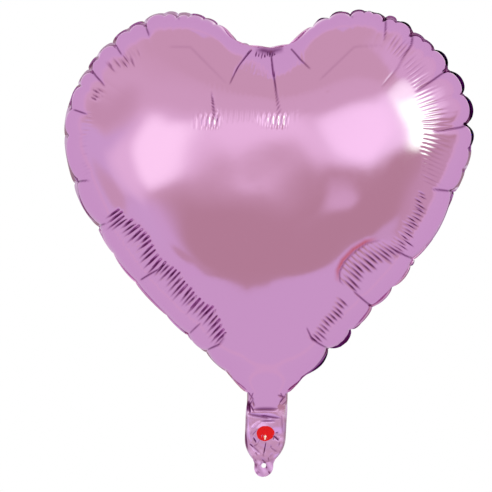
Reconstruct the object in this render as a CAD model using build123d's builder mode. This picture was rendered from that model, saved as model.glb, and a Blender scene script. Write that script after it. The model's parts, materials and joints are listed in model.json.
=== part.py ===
from build123d import *
from math import hypot
import os

# Heart-shaped foil balloon, inflated. Millimetres, +Z up, the front faces -Y.
# The origin is the centre of the ribbon hole in the tab at the foot of the tail.
# Two film panels are sealed together along a flat seam. Below the heart's tip the same two
# films go on as a flat tail, which holds the filling valve, and end in a small hanging tab.

# Envelope
HALF_WIDTH = 190.0          # heart's axis to the seam's edge at the widest place
HALF_DEPTH = 89.0           # seam plane to the crest of one panel
SEAM = 4.0                  # width of the flat sealed border
SEAL = 0.4                  # thickness of one film in any sealed border
FILM = 0.8                  # wall of a swollen panel, a stand-in for metallised film
CREST_Z = 258.0             # height of the fullest place
CREST_REACH = 165.0         # the level lines near the crest turn into circles of this shape
NOTCH_Z = 386.7             # bottom of the cleft between the lobes
LOBE_Z = 420.8              # top of a lobe
SHRINK_POWER = 0.36         # how soon the level lines shrink on the way to the crest
ROUND_POWER = 1.2           # and how late they turn into circles
NECK_WALL = 1.0             # each side of the neck at the tip, through which the valve passes
NECK_ROOM = 2.0             # from the valve's edge to that side

# Tail, which leans a little, so that the heart's axis stands beside the ribbon hole
HEART_X = 3.4
FOLD_Z = 62.0               # fold line between the heart's tip and the tail
FOLD_GAP = 2.0              # each side of it stops this far from the fold line
TAIL_HALF = 18.7
TAIL_SEAM = 3.0
SHOULDER_Z = 27.0           # the tail's straight sides end here
HAUNCH_X = 0.86             # where the rounding below them passes, as a share of TAIL_HALF
HAUNCH_Z = 0.56             # and as a share of SHOULDER_Z
TAIL_FILM = 0.35
POCKET = 1.05               # room inside each tail panel for the valve films
MOUTH = 8.0                 # unsealed stretch of the tail's edge, where a straw goes in
MOUTH_X = 13.5              # its middle, and the slope it is cut square to
MOUTH_Z = 12.0
MOUTH_TURN = 48.0

# Hanging tab
WAIST_Z = 5.0               # fold line between the tail and the tab
WAIST_GAP = 1.0
WAIST_HALF = 9.5
TAB_HALF = 8.7
TAB_FOOT_Z = -10.3
TAB_ROUNDING = 0.99         # radius of the foot's corners, as a share of TAB_HALF
HOLE_RADIUS = 2.2

# Filling valve
VALVE_HALF = 12.5
VALVE_FILM = 0.25
VALVE_SPACE = 0.2           # seam plane to the inner face of each valve film
VALVE_FOOT_Z = 13.0
VALVE_FOOT_HALF = 9.5
VALVE_TOP_Z = 150.0
FLAP_ROOT_Z = 66.0
INK = 0.1
INK_FOOT_HALF = 7.5
INK_MARGIN = 5.0            # the ink stops this far short of the film's ends

# Printed marker over the valve
MARKER_Z = 29.8
MARKER_WIDTH = 16.4
MARKER_HEIGHT = 14.1
ARROW_Z = 26.2
ARROW_LENGTH = 4.4
ARROW_WIDTH = 3.2
ARROW_STEM = 1.28
ARROW_HEAD = 1.8
PRINT = 0.15

TIP_Z = FOLD_Z + FOLD_GAP
TAIL_TOP_Z = FOLD_Z - FOLD_GAP
TAIL_FOOT_Z = WAIST_Z + WAIST_GAP
TAB_TOP_Z = WAIST_Z - WAIST_GAP
TAIL_FACE = POCKET + TAIL_FILM
NECK_HALF = VALVE_HALF + NECK_ROOM + NECK_WALL
NECK_LENGTH = 6 * SEAM      # the opening is cut this far up and down across the seam

# Right half of the seam's edge, from the corner at the tail up and round to the cleft.
# The first two points are the ends of a straight side.
SEAM_EDGE = [
    (20.5, TIP_Z),
    (112.0, 157.0),
    (150.0, 205.0),
    (177.0, 257.0),
    (HALF_WIDTH, 300.0),
    (183.0, 345.0),
    (161.0, 380.0),
    (127.0, 408.5),
    (84.0, LOBE_Z),
    (41.0, 405.0),
    (0.0, NOTCH_Z),
]

# Share of a panel's full rise at each of its level lines, from the seam to the crest.
LEVELS = [0.0, 0.22, 0.45, 0.65, 0.8, 0.9, 0.965, 0.995]

# Sketches of the heart are drawn about its own axis. The plane's normal points forwards.
HEART = Plane(origin=(HEART_X, 0, 0), x_dir=(1, 0, 0), z_dir=(0, -1, 0))


def level_line(level, inset):
    """Seam-edge points drawn in to the level line of an inflated panel.

    A panel of film that can't stretch rises steeply at its seam and is nearly flat at its
    crest. Its level lines shrink and turn rounder on the way up.
    """
    shrink = (1 - level**2) ** SHRINK_POWER
    roundness = level**ROUND_POWER
    points = []
    for x, z in SEAM_EDGE:
        reach = hypot(x, z - CREST_Z)
        drawn = shrink * ((1 - roundness) * reach + roundness * CREST_REACH) - inset
        points.append((x / reach * drawn, CREST_Z + (z - CREST_Z) / reach * drawn))
    return points


def heart_face(level=0.0, inset=0.0):
    """One heart outline: a short foot, two straight sides, and two curves."""
    corner, side_end, *curve = level_line(level, inset)
    opposite = (-corner[0], corner[1])
    with BuildSketch() as face:
        with BuildLine():
            side = Line(corner, side_end)
            Spline(side_end, *curve, tangents=[side % 1, (-1, 0)])
            mirror(about=Plane.YZ)
            Line(opposite, corner)
        make_face()
    return face.sketch


def leaning(x, z):
    """A point of the upright tail, moved sideways with the tail's lean."""
    return (x + HEART_X * z / FOLD_Z, z)


def tail_face():
    """The tail's outline, carried on above the fold line, where it is cut off later."""
    above = TIP_Z + TAIL_SEAM
    haunch = (HAUNCH_X * TAIL_HALF, HAUNCH_Z * SHOULDER_Z)
    right = [(TAIL_HALF, above), (TAIL_HALF, SHOULDER_Z), haunch, (WAIST_HALF, TAIL_FOOT_Z)]
    top_r, shoulder_r, haunch_r, waist_r = [leaning(x, z) for x, z in right]
    top_l, shoulder_l, haunch_l, waist_l = [leaning(-x, z) for x, z in right]
    with BuildSketch() as face:
        with BuildLine():
            Line(top_r, shoulder_r)
            ThreePointArc(shoulder_r, haunch_r, waist_r)
            Line(waist_r, waist_l)
            ThreePointArc(waist_l, haunch_l, shoulder_l)
            Line(shoulder_l, top_l)
            Line(top_l, top_r)
        make_face()
    return face.sketch


def mouth_face(width):
    """A strip across the tail's lower right edge, square to that edge."""
    with BuildSketch() as face:
        with Locations(leaning(MOUTH_X, MOUTH_Z)):
            Rectangle(width, 2 * MOUTH, rotation=MOUTH_TURN)
    return face.sketch


def strip_face(foot_half, foot_z, half, top_z):
    """A strip of valve film in the tail, a little narrower at its foot."""
    corners = [(foot_half, foot_z), (half, SHOULDER_Z), (half, top_z)]
    right = [leaning(x, z) for x, z in corners]
    left = [leaning(-x, z) for x, z in corners]
    with BuildSketch() as face:
        with BuildLine():
            Polyline(*right, *reversed(left), close=True)
        make_face()
    return face.sketch


# Front panel: a swollen shell with a flat sealed border, and a low neck at the tip through
# which the valve films pass.
with BuildPart() as front_panel:
    for level in LEVELS:
        with BuildSketch(HEART.offset(level * HALF_DEPTH)):
            add(heart_face(level, SEAM))
    loft()
    with BuildSketch(HEART):
        add(heart_face())
    extrude(amount=SEAL)
    with BuildSketch(HEART):
        with Locations((0, TIP_Z)):
            Rectangle(2 * NECK_HALF, SEAM + FILM, align=(Align.CENTER, Align.MIN))
    extrude(amount=TAIL_FACE)
    for level in LEVELS:
        with BuildSketch(HEART.offset(level * (HALF_DEPTH - FILM))):
            add(heart_face(level, SEAM + FILM))
    loft(mode=Mode.SUBTRACT)
    with BuildSketch(HEART):
        with Locations((0, TIP_Z)):
            Rectangle(2 * (VALVE_HALF + NECK_ROOM), NECK_LENGTH)
    extrude(amount=POCKET, mode=Mode.SUBTRACT)

# Back panel: the same shape on the other side of the seam plane.
with BuildPart() as back_panel:
    mirror(front_panel.part, about=Plane.XZ)

# Tail panels: a flat sealed border round a low pocket. The pocket runs out through the
# border at the mouth and is open at the fold line.
with BuildPart() as tail_front_panel:
    with BuildSketch(Plane.XZ):
        add(tail_face())
    extrude(amount=SEAL)
    with BuildSketch(Plane.XZ):
        add(tail_face())
        offset(amount=-TAIL_SEAM, mode=Mode.REPLACE)
    extrude(amount=TAIL_FACE)
    with BuildSketch(Plane.XZ):
        add(tail_face())
        add(mouth_face(MOUTH + 2 * TAIL_FILM), mode=Mode.INTERSECT)
    extrude(amount=TAIL_FACE)
    with BuildSketch(Plane.XZ):
        add(tail_face())
        offset(amount=-TAIL_SEAM - TAIL_FILM, mode=Mode.REPLACE)
    extrude(amount=POCKET, mode=Mode.SUBTRACT)
    with BuildSketch(Plane.XZ):
        add(mouth_face(MOUTH))
    extrude(amount=POCKET, mode=Mode.SUBTRACT)
    split(bisect_by=Plane.XY.offset(TAIL_TOP_Z), keep=Keep.BOTTOM)

with BuildPart() as tail_back_panel:
    mirror(tail_front_panel.part, about=Plane.XZ)

# Hanging tab: both films sealed flat, with the ribbon hole punched through them.
with BuildPart() as tab_front_sheet:
    with BuildSketch(Plane.XZ) as tab_outline:
        with Locations((0, TAB_TOP_Z)):
            Rectangle(2 * TAB_HALF, TAB_TOP_Z - TAB_FOOT_Z, align=(Align.CENTER, Align.MAX))
        fillet(tab_outline.vertices().group_by(Axis.Y)[0], radius=TAB_ROUNDING * TAB_HALF)
    extrude(amount=SEAL)
    with Locations(Plane.XZ):
        Hole(HOLE_RADIUS)

with BuildPart() as tab_back_sheet:
    mirror(tab_front_sheet.part, about=Plane.XZ)

# Valve: two clear films that lie together in the tail and run up into the envelope. The gas
# presses them shut. The inner face of one carries a patch of release ink, which kept it from
# being sealed to the other when the seam was made.
with BuildPart() as valve_sleeve_front:
    with BuildSketch(Plane.XZ.offset(VALVE_SPACE)):
        add(strip_face(VALVE_FOOT_HALF, VALVE_FOOT_Z, VALVE_HALF, TAIL_TOP_Z))
    extrude(amount=VALVE_FILM)

with BuildPart() as valve_sleeve_back:
    mirror(valve_sleeve_front.part, about=Plane.XZ)

with BuildPart() as release_ink:
    with BuildSketch(Plane.XZ.offset(VALVE_SPACE - INK)):
        foot_z, top_z = VALVE_FOOT_Z + INK_MARGIN, TAIL_TOP_Z - INK_MARGIN
        add(strip_face(INK_FOOT_HALF, foot_z, VALVE_FOOT_HALF, top_z))
    extrude(amount=INK)

with BuildPart() as valve_tongue:
    with BuildSketch(HEART.offset(VALVE_SPACE)):
        with Locations((0, TIP_Z)):
            Rectangle(2 * VALVE_HALF, VALVE_TOP_Z - TIP_Z, align=(Align.CENTER, Align.MIN))
    extrude(amount=VALVE_FILM)

with BuildPart() as valve_flap:
    with BuildSketch(HEART.offset(-VALVE_SPACE - VALVE_FILM)):
        with Locations((0, FLAP_ROOT_Z)):
            Rectangle(2 * VALVE_HALF, VALVE_TOP_Z - FLAP_ROOT_Z, align=(Align.CENTER, Align.MIN))
    extrude(amount=VALVE_FILM)

# Printed marker: a dot on the front of the tail, with an upward arrow left clear in it and
# printed in a second colour.


def arrow_face():
    """An arrow that points up the tail, towards the envelope."""
    head, stem = ARROW_WIDTH / 2, ARROW_STEM / 2
    half = ARROW_LENGTH / 2
    neck = half - ARROW_HEAD
    right = [(0, half), (head, neck), (stem, neck), (stem, -half)]
    left = [(-x, z) for x, z in reversed(right[1:])]
    outline = [leaning(x, ARROW_Z + z) for x, z in right + left]
    with BuildSketch() as face:
        with BuildLine():
            Polyline(*outline, close=True)
        make_face()
    return face.sketch


with BuildPart() as marker_arrow:
    with BuildSketch(Plane.XZ.offset(TAIL_FACE)):
        add(arrow_face())
    extrude(amount=PRINT)

with BuildPart() as valve_marker:
    with BuildSketch(Plane.XZ.offset(TAIL_FACE)):
        with Locations(leaning(0, MARKER_Z)):
            Ellipse(MARKER_WIDTH / 2, MARKER_HEIGHT / 2)
    extrude(amount=PRINT)
    add(marker_arrow.part, mode=Mode.SUBTRACT)

PIECES = {
    "front_panel": front_panel,
    "back_panel": back_panel,
    "tail_front_panel": tail_front_panel,
    "tail_back_panel": tail_back_panel,
    "tab_front_sheet": tab_front_sheet,
    "tab_back_sheet": tab_back_sheet,
    "valve_sleeve_front": valve_sleeve_front,
    "valve_sleeve_back": valve_sleeve_back,
    "release_ink": release_ink,
    "valve_tongue": valve_tongue,
    "valve_flap": valve_flap,
    "valve_marker": valve_marker,
    "marker_arrow": marker_arrow,
}

os.makedirs("parts", exist_ok=True)
for name, piece in PIECES.items():
    piece.part.label = name
    export_step(piece.part, f"parts/{name}.step")
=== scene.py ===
import json
import math
from collections import namedtuple

import bpy
import numpy as np
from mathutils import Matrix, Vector
from mathutils.bvhtree import BVHTree
from mathutils.geometry import delaunay_2d_cdt


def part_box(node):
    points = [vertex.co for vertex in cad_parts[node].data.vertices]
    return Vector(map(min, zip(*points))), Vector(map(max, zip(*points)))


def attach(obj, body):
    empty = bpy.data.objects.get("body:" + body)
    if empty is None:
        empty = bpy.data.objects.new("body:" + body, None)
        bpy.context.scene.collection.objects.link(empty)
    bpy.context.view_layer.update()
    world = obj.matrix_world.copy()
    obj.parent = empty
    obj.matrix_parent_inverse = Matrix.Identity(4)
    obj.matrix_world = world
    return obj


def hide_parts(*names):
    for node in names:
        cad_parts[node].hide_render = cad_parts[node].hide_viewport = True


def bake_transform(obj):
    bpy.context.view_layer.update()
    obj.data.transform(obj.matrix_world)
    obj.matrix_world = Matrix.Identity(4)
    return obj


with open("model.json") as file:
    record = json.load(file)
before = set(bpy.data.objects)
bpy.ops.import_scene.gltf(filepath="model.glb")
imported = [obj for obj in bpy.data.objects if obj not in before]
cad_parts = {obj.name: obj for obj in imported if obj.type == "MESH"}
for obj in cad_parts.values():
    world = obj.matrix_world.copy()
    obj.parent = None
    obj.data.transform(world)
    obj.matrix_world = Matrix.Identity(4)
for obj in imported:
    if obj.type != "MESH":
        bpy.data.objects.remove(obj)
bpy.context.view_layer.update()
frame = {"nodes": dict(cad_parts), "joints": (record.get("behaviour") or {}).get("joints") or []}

# Looks of the heart-shaped foil balloon. Shapes are worked out in millimetres in the row's
# frame (+Z up, the front faces -Y) and written to the meshes in metres.
# A foil sheet is one continuous mesh: flat seam, swollen panel, and tail. Its shape is the
# smooth inflated form plus the ways a film that can't stretch gives: scallops between tucks
# along the seam, sharp tucks that run in from it, and rows of short pleats further in.

MM = 0.001


def cad_box(node):
    """A CAD node's lowest and highest corners in millimetres."""
    lo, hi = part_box(node)
    return np.array(lo) / MM, np.array(hi) / MM


# Places taken from the frame
panel_lo, panel_hi = cad_box("front_panel")
tab_lo, tab_hi = cad_box("tab_front_sheet")
joints = {joint["name"]: joint for joint in frame["joints"]}
AXIS_X = (panel_lo[0] + panel_hi[0]) / 2
HALF_DEPTH = -panel_lo[1]
TIP_Z = panel_lo[2]
FOLD_Z = joints["tail_fold"]["pos_m"][2] / MM
WAIST_Z = joints["tab_fold"]["pos_m"][2] / MM

# The swollen form
CREST_Z = 258.0             # height of the fullest place
CREST_REACH = 165.0         # radius of the round form that the level lines turn into
SHRINK_POWER = 0.36         # how the level lines draw in towards the crest
ROUND_POWER = 1.2           # how soon they turn round
SEAM = 4.0                  # width of the flat sealed border
FILM_GAP = 0.12             # the two films stand this far from the seam plane where sealed
COLUMNS = 1296              # mesh columns round the seam, at the finest

# The main view: level with the balloon, nearly square on, a little to its right
VIEW_AZIMUTH = math.radians(5.0)
VIEW_LENS = 145.0
VIEW_SENSOR = 36.0
VIEW_WIDE = 453.8           # millimetres across the picture at the seam plane
VIEW_DISTANCE = VIEW_WIDE * VIEW_LENS / VIEW_SENSOR
VIEW_AIM = np.array([-19.8, 202.4])     # from the heart's axis, and height

# Each sheet's own random unevenness
FRONT_SEED = 21
BACK_SEED = 57


def smoothstep(t):
    t = np.clip(t, 0.0, 1.0)
    return t * t * (3 - 2 * t)


def smoothest(t):
    """Like smoothstep, but its curvature is even too, which a mirror shows."""
    t = np.clip(t, 0.0, 1.0)
    return t**3 * (10 - 15 * t + 6 * t * t)


def smooth_round(values, sigma):
    """Gaussian smoothing of a closed row of values; sigma is in samples."""
    reach = int(4 * sigma) + 1
    offsets = np.arange(-reach, reach + 1)
    weights = np.exp(-0.5 * (offsets / sigma) ** 2)
    weights /= weights.sum()
    total = np.zeros_like(values)
    for offset, weight in zip(offsets, weights):
        total += weight * np.roll(values, -offset, axis=0)
    return total


# ---------------------------------------------------------------- the seam's outline

SAMPLES = 3600              # places at which the seam is known
RAY_PLANES = (-0.2, -0.7, -1.2, -2.0)   # y of the rays that find the seam's edge
REACH_BLUR = 9.0            # samples; evens out the facets of the CAD mesh


def seam_reach():
    """Distance from the crest to the CAD seam's edge, all round, by rays cast inwards."""
    mesh = frame["nodes"]["front_panel"].data
    corners = [vertex.co for vertex in mesh.vertices]
    tree = BVHTree.FromPolygons(corners, [face.vertices for face in mesh.polygons])
    angles = np.linspace(-math.pi / 2, 1.5 * math.pi, SAMPLES, endpoint=False)
    far = 1.5 * (panel_hi[2] - panel_lo[2])
    reach = []
    for angle in angles:
        way = Vector((math.cos(angle), 0, math.sin(angle)))
        hits = []
        for y in RAY_PLANES:
            start = Vector((AXIS_X, y, CREST_Z)) * MM + way * far * MM
            hit = tree.ray_cast(start, -way)[0]
            hits.append(far - (hit - start).length / MM)
        reach.append(max(hits))
    return angles, smooth_round(np.array(reach), REACH_BLUR)


RIM_ANGLE, RIM_REACH = seam_reach()


def rim_reach(angle):
    """The outline's reach at any angle about the crest."""
    turned = (angle + math.pi / 2) % (2 * math.pi) - math.pi / 2
    return np.interp(turned, RIM_ANGLE, RIM_REACH, period=2 * math.pi)


# The seam line, where the swollen film meets the flat border, in the heart's own x and z.
SEAM_LINE = np.stack([np.cos(RIM_ANGLE), np.sin(RIM_ANGLE)], 1) * (RIM_REACH - SEAM)[:, None]
SEAM_LINE[:, 1] += CREST_Z
SEAM_STEP = np.linalg.norm(np.roll(SEAM_LINE, -1, 0) - SEAM_LINE, axis=1)
SEAM_AT = np.concatenate([[0], np.cumsum(SEAM_STEP)[:-1]])
SEAM_LENGTH = SEAM_STEP.sum()


def unit(vectors):
    return vectors / np.linalg.norm(vectors, axis=-1, keepdims=True)


def seam_normals():
    """Unit vectors pointing inwards from the seam line."""
    along = np.roll(SEAM_LINE, -1, 0) - np.roll(SEAM_LINE, 1, 0)
    return unit(np.stack([-along[:, 1], along[:, 0]], 1))


SEAM_NORMAL = seam_normals()


def along_seam(pairs, at):
    """x and z, known at every seam sample, read at distances along the seam."""
    return [np.interp(at, SEAM_AT, values, period=SEAM_LENGTH) for values in pairs.T]


def inward_at(at):
    """Unit vectors in the seam plane, pointing into the heart."""
    return unit(np.stack(along_seam(SEAM_NORMAL, at), -1))


def nearest_seam(point):
    """Index of the seam sample nearest to a place given in the heart's own x and z."""
    return int(np.hypot(SEAM_LINE[:, 0] - point[0], SEAM_LINE[:, 1] - point[1]).argmin())


# ---------------------------------------------------------------- what marks the film

# Places below are x from the heart's axis and z, as they look in the main view against the
# seam plane; on_film() moves them onto the swollen film.
# Tucks: the film gathered into a sharp line that runs in from the seam. Each is a chain of
# places from the seam inwards, then its depth.
TUCKS = [
    ([(-160, 219.5), (-150, 223.5)], 1.7),
    ([(-117.6, 171), (-99, 182), (-94, 187)], 1.2),
    ([(-71.5, 122), (-61, 132)], 0.9),
    ([(-55.3, 106.3), (-44.7, 111.4), (-39, 119)], 1.2),
    ([(-180, 262.5), (-165, 263.5)], 1.8),
    ([(-187, 305), (-184, 304.5)], 0.8),
    ([(-180, 329), (-167, 324.5)], 1.4),
    ([(-164.6, 365.5), (-155.4, 355.4), (-151, 350)], 1.5),
    ([(-141.6, 388.6), (-135, 379)], 1.4),
    ([(-114, 408.4), (-109.3, 396)], 1.4),
    ([(-83, 418), (-81.6, 411)], 0.9),
    ([(-15, 384), (-28, 367), (-35.5, 351)], 1.9),
    ([(3.4, 382), (6.9, 353), (11.5, 322)], 1.9),
    ([(21.9, 384), (30, 374.8), (40.4, 364.6)], 1.2),
    ([(76, 418), (79, 411)], 0.8),
    ([(109.5, 414), (108.5, 399.6), (107.6, 390)], 1.0),
    ([(134.2, 397), (132.4, 386.7), (122.2, 371)], 1.1),
    ([(164.6, 363), (152.2, 354.4), (136, 343.4)], 1.6),
    ([(187.7, 314), (177.5, 311), (152.2, 306.3)], 1.5),
    ([(170.6, 251.6), (163.7, 253), (150, 254.5)], 1.4),
    ([(133.7, 190.5), (126.8, 193.5), (116.5, 199.5)], 1.5),
    ([(96, 146.7), (78.4, 161.7)], 1.7),
    ([(55.3, 108.2), (41.5, 116), (35.7, 128.5)], 1.2),
]
# Notches in the outline between the tucks
NOTCHES = [
    (-144, 193), (-95.5, 134), (-39, 85.6), (-177.5, 353), (-156.8, 376), (-127.7, 401.5),
    (-94.5, 416), (-71.5, 415), (-57.6, 411), (-45.7, 407), (-25.4, 392),
    (41, 405), (56.7, 411.6), (90, 419), (98, 418), (120, 410.7), (146, 393), (154, 384),
    (179.4, 341.5), (188.6, 290), (184, 270), (132, 184.7), (116, 163), (33.7, 81), (78, 124),
]
# Tucks and faint fold lines that start inside the panel
LONE_TUCKS = [
    ([(72, 165), (67, 170), (66.5, 178), (71, 187), (80.5, 197), (92, 205), (105, 208)], 0.62),
    ([(-13, 384), (2, 382.5), (16, 384.5)], 1.0, 6.0),
    ([(-94.5, 387), (-71.5, 386.5), (-37, 352)], 0.13, 2.2),
    ([(46, 353), (80, 385), (108, 386.5)], 0.13, 2.2),
    ([(127, 379), (120, 366), (104, 347)], 0.30, 2.0),
    ([(-52, 347), (-48.4, 315)], 1.5),
    ([(-127.7, 377.5), (-123, 368)], 0.9),
]
# A crease along which a warm reflection is painted into the front foil's colour
WARM_REFLECTION_ARC = [(70, 166), (64.5, 172), (65, 180), (69.5, 189), (79, 199), (91, 206.5), (104, 210)]


# Short pleats side by side. The chain gives where they end, towards the heart's middle. dark is
# the painted shade along their lines, ragged how uneven they are, and fan where they point if
# they don't stand square to the seam. inside_out puts the painted shade at the end nearer the seam.
PleatRow = namedtuple("PleatRow", "chain length pitch depth dark ragged fan inside_out",
                      defaults=(0.15, None, False))
PLEAT_ROWS = [
    PleatRow([(-139, 236), (-113, 216), (-99, 193), (-80, 177), (-62, 153), (-50, 145), (-38, 121)],
             17, 4.3, 1.9, 1.0, 0.13),
    PleatRow([(35, 122), (48, 139), (65, 161)], 15, 4.0, 1.2, 1.0, 0.08, None, True),
    PleatRow([(65, 177), (72, 193), (86, 204), (104, 208)], 24, 4.3, 1.1, 1.0, 0.08, None, True),
    PleatRow([(110, 207), (121, 223), (128, 240), (137, 254)], 14, 3.1, 0.8, 0.9, 0.20, None, True),
    PleatRow([(140, 264), (143, 285), (143, 305)], 20, 3.9, 0.30, 0.1, 0.08),
    PleatRow([(143, 309), (142, 325), (137, 343)], 20, 3.6, 0.30, 0.12, 0.08),
    PleatRow([(138, 346), (131, 358), (124, 369)], 17, 3.5, 0.32, 0.12, 0.08),
    PleatRow([(121, 374), (109, 384)], 18, 3.5, 0.42, 0.2, 0.08),
    PleatRow([(-140, 362), (-126, 372)], 12, 3.5, 0.8, 0.55, 0.25),
    PleatRow([(-159, 338), (-151, 347)], 9, 3.2, 0.8, 0.55, 0.25),
    PleatRow([(-118, 378), (-134, 366)], 12, 3.6, 0.3, 0.1, 0.2),
    PleatRow([(-163, 325), (-167, 305), (-163, 270)], 10, 3.4, 0.16, 0.04, 0.10),
    PleatRow([(30, 322), (44, 332), (56, 345)], 34, 5.4, 0.20, 0.0, 0.06, fan=(20, 620)),
    PleatRow([(-24, 366), (0, 357), (34, 372)], 11, 4.0, 0.30, 0.0, 0.10, fan=(0, 520)),
    PleatRow([(-11, 377), (0, 375), (9, 378)], 6, 2.5, 0.9, 1.0, 0.30, fan=(0, 460)),
]


def along_chain(chain, step, draw, ragged):
    """Places along a chain of points, about one step apart."""
    chain = np.array(chain, float)
    run = np.concatenate([[0], np.cumsum(np.linalg.norm(np.diff(chain, axis=0), axis=1))])
    places_at, at = [], 0.0
    while at < run[-1]:
        places_at.append(at)
        at += step * (1 + draw.normal(0, ragged * 0.5))
    return np.stack([np.interp(places_at, run, chain[:, i]) for i in range(2)], 1)


def pleat_list(seed):
    """Every single pleat: inner end, way towards the seam, length, depth, painted shade, half width.
    """
    draw = np.random.default_rng(seed)
    pleats = []
    for row in PLEAT_ROWS:
        drift = 0.0
        for end in along_chain(on_film(row.chain), row.pitch, draw, row.ragged):
            target = np.array(row.fan) if row.fan else SEAM_LINE[nearest_seam(end)]
            way = unit(target - end)
            turn = draw.normal(0, 0.25 * row.ragged)
            cosine, sine = math.cos(turn), math.sin(turn)
            way = way @ np.array([[cosine, sine], [-sine, cosine]])
            drift = 0.6 * drift + draw.normal(0, 7 * row.ragged)
            pleats.append((
                end + way * drift,
                way,
                row.length * (1 + draw.normal(0, row.ragged)),
                row.depth * (1 + draw.normal(0, row.ragged)),
                row.dark * draw.uniform(0.6, 1.0),
                row.pitch * 0.47,
                row.inside_out,
            ))
    return pleats


def scallop(at, notches):
    """0 at a notch, rising like a pillow to 1 between two of them, and the pillow's length."""
    edges = np.sort(np.array(notches))
    edges = np.concatenate([[edges[-1] - SEAM_LENGTH], edges, [edges[0] + SEAM_LENGTH]])
    index = np.clip(np.searchsorted(edges, at, side="right") - 1, 0, len(edges) - 2)
    length = edges[index + 1] - edges[index]
    share = (at - edges[index]) / length
    return (4 * share * (1 - share)) ** 0.7, length, index


# ---------------------------------------------------------------- the panel's mesh

TUBE = 60.0                 # film length of the steep band beside the seam
RIPPLED = 119.0             # the short pleats end before this film length
ROW_GROWTH = 1.12           # rows beyond that stand ever further apart
DENT = 30.0                 # the dent below the notch: depth, place, widths and height
DENT_AT = (13.0, 386.0)
DENT_HALF = (38.0, 28.0)
DENT_HIGH = 32.0
COLUMN_TURN = 32.0          # the columns' directions are evened over this much of the seam


def profile_table():
    """Level of the swollen form against film length from the seam, on a typical section."""
    level = 1 - np.linspace(1, 0, 4001) ** 2.2      # closer together near the crest
    shrink = np.clip(1 - level**2, 0, 1) ** SHRINK_POWER
    reach = shrink * CREST_REACH
    rise = level * HALF_DEPTH
    step = np.hypot(np.diff(reach), np.diff(rise))
    return np.concatenate([[0], np.cumsum(step)]), level


FILM_AT, FILM_LEVEL = profile_table()


def film_rows():
    """Film lengths of the mesh rows, and which share of the columns each row leaves out."""
    fine = np.concatenate([np.linspace(0, TUBE, 23)[:-1], np.linspace(TUBE, RIPPLED, 42)])
    rows = [(length, 1) for length in fine]
    length, step, share = RIPPLED, 1.5, 1
    while length + step * ROW_GROWTH < FILM_AT[-1] - 4:
        step *= ROW_GROWTH
        length += step
        share = 2 if length < 140 else 4 if length < 170 else 8
        rows.append((length, share))
    return rows


def level_reach(level, angle):
    """Reach of a level line of the swollen form at an angle about the crest."""
    roundness = level**ROUND_POWER
    blended = (1 - roundness) * rim_reach(angle) + roundness * CREST_REACH
    return (1 - level**2) ** SHRINK_POWER * blended - SEAM * (1 - level)


def column_places():
    """Distances along the seam of the finest columns: closer together where the film is pleated."""
    density = np.full(SAMPLES, 0.9)
    for row in PLEAT_ROWS[:8]:
        ends = [SEAM_AT[nearest_seam(end)] for end in row.chain]
        density[(SEAM_AT > min(ends) - 4) & (SEAM_AT < max(ends) + 4)] = 1.2 + 0.7 * row.dark
    for chain, _ in TUCKS:
        density[np.abs(SEAM_AT - SEAM_AT[nearest_seam(chain[0])]) < 4] = 2.4
    foot = (np.abs(SEAM_LINE[:, 0]) < 19.5) & (SEAM_LINE[:, 1] < 72)
    density[foot] = 2.6
    top = SEAM_LINE[:, 1] > 350
    density[(np.abs(SEAM_LINE[:, 0]) < 72) & top] = 2.4
    density[(np.abs(SEAM_LINE[:, 0]) < 28) & top] = 3.8
    density = smooth_round(density, 4.0)
    total = np.concatenate([[0], np.cumsum(density * SEAM_STEP)])
    wanted = np.linspace(0, total[-1], COLUMNS, endpoint=False)
    return np.interp(wanted, total, np.concatenate([SEAM_AT, [SEAM_LENGTH]]))


COLUMN_AT = column_places()
ROWS = film_rows()
ROW_FILM = np.array([length for length, _ in ROWS])


def column_paths():
    """Start and inward direction of each column. Directions are smoothed so that none cross."""
    start = np.stack(along_seam(SEAM_LINE, COLUMN_AT), 1)
    soft = smooth_round(SEAM_NORMAL, COLUMN_TURN / (SEAM_LENGTH / SAMPLES))
    return start, unit(np.stack(along_seam(soft, COLUMN_AT), 1))


def last_inside(low, high, is_inside, steps):
    """Halves the range from low to high until low stands at the last place that is inside."""
    for _ in range(steps):
        middle = (low + high) / 2
        inside = is_inside(middle)
        low = np.where(inside, middle, low)
        high = np.where(inside, high, middle)
    return low


def base_grid():
    """x and z of every row and column of the swollen form."""
    start, way = column_paths()
    crest = np.array([0.0, CREST_Z])
    span = np.linalg.norm(crest - start, axis=1)
    home = unit(crest - start)
    levels = np.interp(ROW_FILM, FILM_AT, FILM_LEVEL)

    def at(distance):
        turn = smoothstep((distance - 20) / (0.62 * span - 10))[..., None]
        travel = distance[..., None]
        return start + (way * (1 - turn) + home * turn) * travel

    def below_level(distance):
        point = at(distance) - crest
        angle = np.arctan2(point[..., 1], point[..., 0])
        return np.hypot(point[..., 0], point[..., 1]) > level_reach(levels[:, None], angle)

    nowhere = np.zeros((len(levels), COLUMNS))
    flat = at(last_inside(nowhere, np.broadcast_to(span, nowhere.shape), below_level, 34))
    flat[0] = start
    # Where the tail joins, the film runs on instead of turning steeply down to a seam.
    on_foot = 1 - smoothstep((np.abs(start[:, 0]) - 11) / 14) * (start[:, 1] < 120)
    on_foot = np.where(start[:, 1] < 120, on_foot, 0.0)
    last = int(np.searchsorted(ROW_FILM, TUBE))
    for row in range(1, last):
        even = start + (flat[last] - start) * ROW_FILM[row] / ROW_FILM[last]
        flat[row] += (even - flat[row]) * on_foot[:, None]
    return flat


def notch_dent(flat):
    """How far the panel sinks where the outline cuts in between the lobes."""
    offset = flat[..., 0] - DENT_AT[0]
    across = np.hypot(offset, 5) / np.where(offset < 0, *DENT_HALF)
    return DENT * np.exp(-(across**1.35) - ((flat[..., 1] - DENT_AT[1]) / DENT_HIGH) ** 2)


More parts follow.
